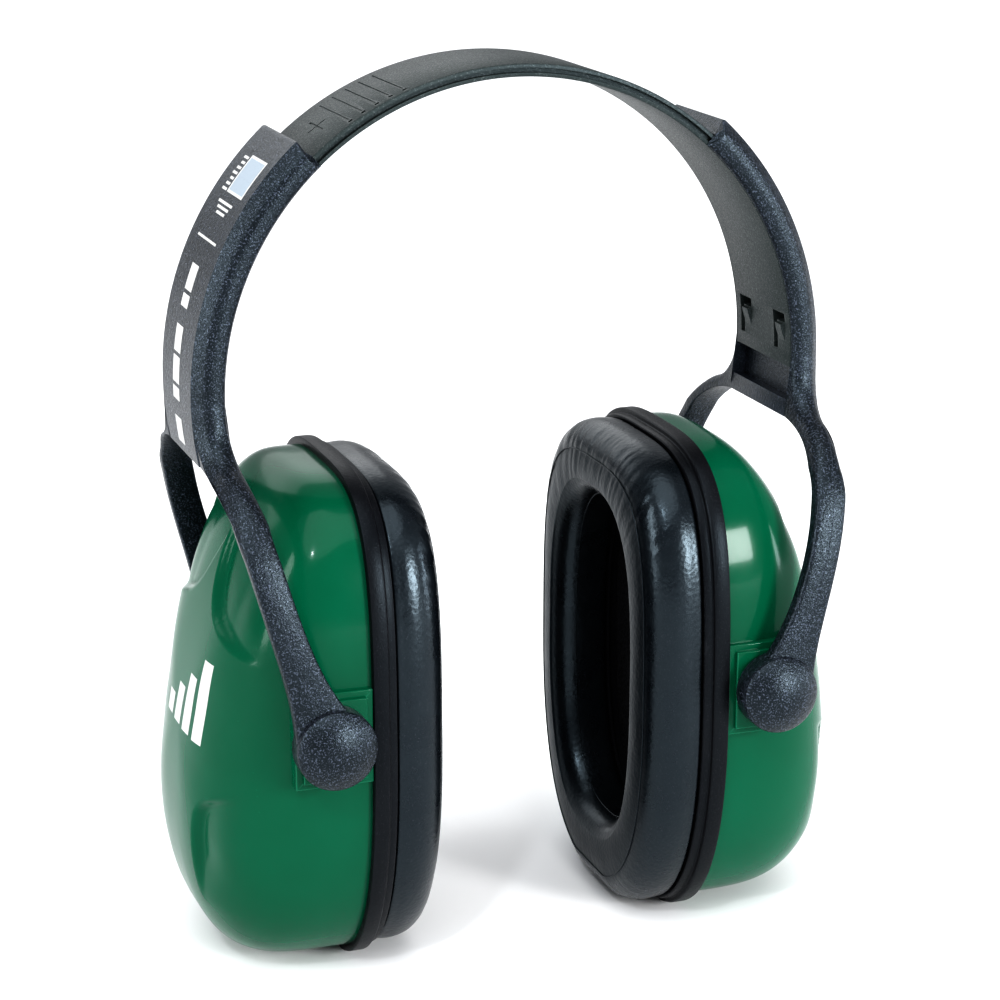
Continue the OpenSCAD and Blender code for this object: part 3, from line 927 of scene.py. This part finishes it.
def make_cushion(name, side):
    """The cushion's cover: simulated, subdivided and gathered."""
    slack = 0.4
    rings, crease = cushion_rings(slack)
    cols = CUSHION_COLS
    obj = build(name, np.concatenate([ring(*r, cols) for r in rings]),
                grid_faces(len(rings), cols, wrap_rows=True), side, 180)
    fold = obj.data.attributes.new("crease_edge", "FLOAT", "EDGE")
    on_crease = range(crease * cols, (crease + 1) * cols)
    for edge in obj.data.edges:
        if all(v in on_crease for v in edge.vertices):
            fold.data[edge.index].value = 0.9
    moved = swell(obj, rings, crease, 1.0)
    print(f"{name}: cloth moved up to {moved:.2f} mm")
    mod = obj.modifiers.new("subdivision", "SUBSURF")
    mod.levels = mod.render_levels = 2
    apply_modifiers(obj)
    shade(obj, 180)
    wrinkle(obj, side)
    return obj


def seam_bead(name, side, kind, x, grow, radius):
    """A fine bead along one ring of the cushion."""
    path = ring(kind, x, grow, 260)
    return build(name, *tube(path, radius, 8, True), side, 60)


def make_pad(name, side):
    """Foam sheet behind the ear opening, crowned, with soft edges."""
    cols = 120
    x0, x1 = pad_lo.x, pad_hi.x
    rings = [(0, x1, -9.0), (0, x1 - 0.2, -8.3), (0, (x0 + x1) / 2, -8.0), (0, x0 + 0.5, -8.3),
             (0, x0 + 0.2, -9.2), (0, x0 + 0.1, -11)]
    verts = [ring(*r, cols) for r in rings]
    angle = np.arange(cols) * 2 * math.pi / cols
    y, z = outline(angle, -11)
    for k in (0.8, 0.6, 0.4, 0.2):
        crown = np.full(cols, x0 - 0.5 * (1 - k * k) + 0.1)
        verts.append(np.stack([crown, y * k, z * k + MID_Z], 1))
    n = len(verts)
    verts = np.concatenate([*verts, [[x0 - 0.4, 0, MID_Z]]])
    faces = grid_faces(n, cols)
    for c in range(cols):
        faces.append(((n - 1) * cols + c, (n - 1) * cols + (c + 1) % cols, n * cols))
    faces.append(tuple(range(cols)))
    return build(name, verts, faces, side, 180)


# ------------------------ pivot blocks


def rounded_block(lo, hi, radius, name="block"):
    """A box between two corners, with its edges rounded."""
    bm = bmesh.new()
    bmesh.ops.create_cube(bm, size=1)
    size, mid = np.subtract(hi, lo), np.add(hi, lo) / 2
    for v in bm.verts:
        v.co = Vector((np.array(v.co) * size + mid) * MM)
    bmesh.ops.bevel(bm, geom=bm.edges[:], offset=radius * MM, segments=3, profile=0.6,
                    affect="EDGES")
    mesh = bpy.data.meshes.new(name)
    bm.to_mesh(mesh)
    bm.free()
    return link(name, mesh)


def make_pivot_block(name, side, way):
    """Two-level pad with crisp edges, bored for the stud."""
    inner, step, border = block_lo.y, 0.9, 1.4
    lo, hi = np.array(block_lo), np.array(block_hi) - [1.1, 0, 0]
    base = rounded_block(lo, hi - [0, step, 0], 0.28)
    field = rounded_block(lo + [border, 2, border], hi - [border, 0, border], 0.22, "field")
    cut(base, field, "UNION")
    hole = build("hole", *lathe([(3.1, inner - 1), (3.1, block_hi.y + 1)], PIVOT, 1, 48))
    cut(base, hole)
    pts = points_of(base)
    pts[:, 0] *= side
    pts[:, 1] *= way
    set_points(base, pts)
    if side * way < 0:
        base.data.flip_normals()
    base.name = name
    return shade(base, 40)


# ------------------------ printing


def patch(uv_corners, steps, place):
    """A thin printed patch: a four-cornered shape in two surface coordinates, laid on a surface
    by place(u, v, lift), with its own small thickness."""
    a, b, c, d = (np.array(p, float) for p in uv_corners)
    nu, nv = steps
    verts = []
    for lift in (0.05, -0.15):
        for j in range(nv + 1):
            for i in range(nu + 1):
                u, v = i / nu, j / nv
                p = (a * (1 - u) + b * u) * (1 - v) + (d * (1 - u) + c * u) * v
                verts.append(place(p[0], p[1], lift))
    cols, n = nu + 1, (nu + 1) * (nv + 1)
    top = grid_faces(nv + 1, cols, wrap_cols=False)
    faces = top + [tuple(n + i for i in reversed(f)) for f in top]
    border = [i for i in range(cols)] + [j * cols + cols - 1 for j in range(1, nv + 1)]
    border += [nv * cols + i for i in range(cols - 2, -1, -1)]
    border += [j * cols for j in range(nv - 1, 0, -1)]
    for i, j in zip(border, border[1:] + border[:1]):
        faces.append((i, j, n + j, n + i))
    return verts, faces


def on_surface(obj, origin_of, way_of):
    """place(u, v, lift) that casts a ray onto obj's own mesh; points are in mm on the +X side."""
    graph = bpy.context.evaluated_depsgraph_get()
    tree = BVHTree.FromObject(obj, graph)

    def place(u, v, lift):
        start, way = Vector(origin_of(u, v)), Vector(way_of(u, v))
        hit = tree.ray_cast(start * MM, way)[0]
        return (hit / MM if hit else start) - way * lift

    return place


def cup_marks(shell):
    """Four rising bars, as on a volume scale, printed on a cup's face."""
    place = on_surface(shell, lambda u, v: (100, u, v), lambda u, v: (-1, 0, 0))
    parts = []
    width, heights = 4.3, (4.5, 8, 12, 17)
    for i, height in enumerate(heights):
        y = 7.6 - 6.2 * i
        z0, slant = 52.2 - 0.25 * i, 1.1 * height / heights[-1]
        parts.append(patch([(y, z0), (y - width, z0), (y - width - slant, z0 + height),
                            (y - slant, z0 + height)], (8, 2 + int(height)), place))
    return parts


def sleeve_place(yoke):
    """place(y, degrees, lift) on a sleeve's outer face."""

    def origin(u, v):
        return on_arc(80, u, v)

    def way(u, v):
        a = math.radians(v)
        return (-math.cos(a), 0, -math.sin(a))

    return on_surface(yoke, origin, way)


def sleeve_marks(place):
    """A column of plain dashes, a divider and a small label field, printed on a sleeve."""
    white, blue = [], []

    def bar(store, y0, y1, a0, a1):
        steps = max(2, int(abs(y1 - y0) * 1.2)), max(2, int((a1 - a0) * 1.2))
        store.append(patch([(y0, a0), (y1, a0), (y1, a1), (y0, a1)], steps, place))

    # the label field, its frame, a ladder of short bars beside it and three lines below it
    bar(blue, -7.6, 2.4, 35.5, 42.0)
    for y0, y1, a0, a1 in ((-8.2, 3.0, 42.0, 42.5), (-8.2, 3.0, 35.0, 35.5),
                           (-8.2, -7.6, 35.5, 42.0), (2.4, 3.0, 35.5, 42.0)):
        bar(white, y0, y1, a0, a1)
    for i in range(7):
        bar(white, 3.8, 7.0 - 0.4 * (i % 3), 35.0 + 1.06 * i, 35.5 + 1.06 * i)
    for i in range(3):
        bar(white, -5.6 + 0.9 * i, 4.6 - 1.2 * i, 32.9 - 0.95 * i, 33.4 - 0.95 * i)
    # the divider and the dashes
    bar(white, -7.6, 6.6, 26.2, 26.65)
    for i, length in enumerate((4.6, 2.2, 4.6, 4.6, 2.2, 4.6)):
        a = 20.6 - 5.3 * i
        bar(white, -2.6, 2.6, a - length + 1.2, a + 1.2)
    return white, blue


# ------------------------ assembly

finish_piece(make_band(), "headband", "band_plastic", BAND_MAT, "headband")
finish_piece(make_tongues(), "headband", "band_plastic", BAND_MAT)

yokes = {label: make_yoke(f"{label}_yoke_moulding", side) for label, side in SIDES.items()}
sleeve_white, sleeve_blue = sleeve_marks(sleeve_place(yokes["right"]))

# Both cups' print is laid on this shell, and mirrored for the left cup
print_shell = make_shell("print_shell", 1)
face_marks = cup_marks(print_shell)
bpy.data.objects.remove(print_shell)

for label, side in SIDES.items():
    yoke_body, cup_body = f"{label}_yoke", f"{label}_cup"
    finish_piece(yokes[label], yoke_body, "yoke_plastic", YOKE_MAT, f"{label}_yoke")
    for way, place_name in ((-1, "front"), (1, "rear")):
        cap = build(f"{label}_{place_name}_boss_cap", *dome_parts(way), side, 40)
        finish_piece(cap, yoke_body, "yoke_plastic", YOKE_MAT)
        line = build(f"{label}_{place_name}_parting_line",
                     *tube(parting_path(way), 0.09, 6), side)
        finish_piece(line, yoke_body, "yoke_plastic", YOKE_MAT)
        block = make_pivot_block(f"{label}_{place_name}_pivot_pad", side, way)
        finish_piece(block, cup_body, "cup_green", GREEN_MAT, f"{label}_{place_name}_pivot_block")
    finish_piece(add_parts(f"{label}_sleeve_print", sleeve_white, side), yoke_body, None,
                 WHITE_INK)
    finish_piece(add_parts(f"{label}_sleeve_label", sleeve_blue, side), yoke_body, None,
                 BLUE_INK)

    finish_piece(make_shell(f"{label}_shell", side), cup_body, "cup_green", GREEN_MAT,
                 f"{label}_cup_shell")
    finish_piece(add_parts(f"{label}_cup_print", face_marks, side), cup_body, None, WHITE_INK)
    finish_piece(make_rim(f"{label}_rim", side), cup_body, "rim_plastic", RIM_MAT,
                 f"{label}_base_plate")
    finish_piece(make_back_plate(f"{label}_cushion_back", side), cup_body, "rim_plastic", RIM_MAT,
                 f"{label}_cushion_plate")
    cushion = make_cushion(f"{label}_cushion", side)
    finish_piece(cushion, cup_body, "cushion_vinyl", VINYL_MAT, f"{label}_cushion_skin",
                 f"{label}_cushion_foam")
    for seam, kind, x, grow, radius in (("inner_seam", 1, SEAL_X + 5.2, 0.55, 0.14),
                                        ("outer_seam", 0, SEAL_X + 1.0, -5.6, 0.13)):
        bead = seam_bead(f"{label}_cushion_{seam}", side, kind, x, grow, radius)
        finish_piece(bead, cup_body, "cushion_vinyl", VINYL_MAT)
    pad = finish_piece(make_pad(f"{label}_foam_pad", side), cup_body, "foam", FOAM_MAT,
                       f"{label}_inner_pad", f"{label}_absorber_foam")

# ------------------------ stage, light and camera


MIDDLE = Vector((0, 0, 0.09))


def make_floor():
    mesh = bpy.data.meshes.new("floor")
    bm = bmesh.new()
    bmesh.ops.create_grid(bm, x_segments=8, y_segments=8, size=6)
    bm.to_mesh(mesh)
    bm.free()
    floor = link("floor", mesh)
    t = Tree("floor_paper", (0.90, 0.90, 0.90), 0.9, 0.1)
    base = t.mix(t.noise(3, 2), (0.89, 0.89, 0.89, 1), (0.91, 0.91, 0.91, 1))
    t.set(t.shader, {"Base Color": base})
    mesh.materials.append(t.material)


def area_light(name, place, size, power, color=(1, 1, 1)):
    """A soft light at place, in metres, that points at the middle of the part."""
    data = bpy.data.lights.new(name, "AREA")
    data.shape = "RECTANGLE"
    data.size, data.size_y = size
    data.energy = power
    data.color = color
    lamp = bpy.data.objects.new(name, data)
    lamp.location = place
    lamp.rotation_euler = (MIDDLE - Vector(place)).to_track_quat("-Z", "Y").to_euler()
    bpy.context.scene.collection.objects.link(lamp)
    return lamp


def make_sky():
    """Even light from above, and a pale surround."""
    sun = bpy.data.lights.new("sky", "SUN")
    sun.energy = 1.7
    sun.angle = math.radians(60)
    lamp = bpy.data.objects.new("sky", sun)
    lamp.rotation_euler = (math.radians(20), math.radians(-10), 0)
    bpy.context.scene.collection.objects.link(lamp)
    world = bpy.data.worlds.new("studio")
    world.use_nodes = True
    background = world.node_tree.nodes["Background"]
    background.inputs["Color"].default_value = (0.95, 0.97, 1.0, 1)
    background.inputs["Strength"].default_value = 0.48
    bpy.context.scene.world = world


def make_camera():
    """The photograph's viewpoint."""
    data = bpy.data.cameras.new("camera")
    data.sensor_width = 36
    data.lens = 98.6
    data.clip_start, data.clip_end = 0.01, 50
    camera = bpy.data.objects.new("camera", data)
    camera.location = (-0.1828, -0.5181, 0.2505)
    look = Vector((0.00098, 0.0, 0.0919)) - camera.location
    camera.rotation_euler = look.to_track_quat("-Z", "Y").to_euler()
    bpy.context.scene.collection.objects.link(camera)
    bpy.context.scene.camera = camera


make_floor()
make_camera()
area_light("key", (0.66, -1.22, 0.42), (0.30, 0.46), 17)
area_light("flash", (-0.70, -1.00, 1.20), (0.09, 0.09), 4, (0.92, 0.96, 1.0))
area_light("right_strip", (1.25, -0.50, 0.26), (0.16, 0.5), 4, (0.9, 0.95, 1.0))
area_light("left_strip", (-1.2, -0.20, 0.40), (0.30, 0.9), 8)
# seen in the gloss only: it lights the top edges from behind
sheen = area_light("back_panel", (-0.25, 1.30, 0.80), (1.6, 0.7), 4)
sheen.visible_diffuse = False
make_sky()
bpy.context.scene.view_settings.view_transform = "Standard"
bpy.context.scene.view_settings.look = "High Contrast"
